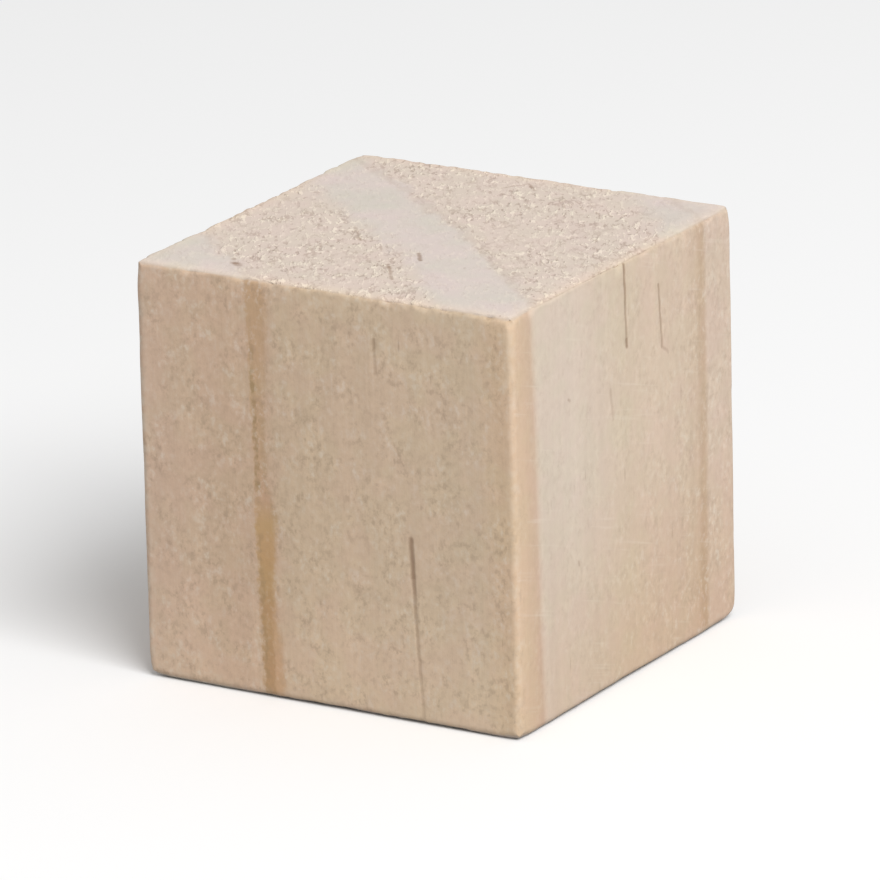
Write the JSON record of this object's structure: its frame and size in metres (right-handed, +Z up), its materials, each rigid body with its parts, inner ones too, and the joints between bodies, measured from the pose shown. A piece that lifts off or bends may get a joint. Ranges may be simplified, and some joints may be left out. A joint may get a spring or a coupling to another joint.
{
  "type": "wooden cube",
  "caption": "Small solid pine craft cube with lightly eased edges, for stacking, gluing, marking or use as a spacer on a bench or desk.",
  "frame": {"origin": "centre of the bottom face, which the cube stands on", "axes": "+Z up, along the grain of the wood, so the top and bottom are end grain; -Y is the front and +X the right side, both long grain"},
  "size_m": [0.025, 0.025, 0.025],
  "materials": {
    "pine": "bare sawn and lightly sanded pine, no oil or varnish"
  },
  "bodies": {
    "root": {"wooden_cube": "pine"}
  },
  "joints": []
}
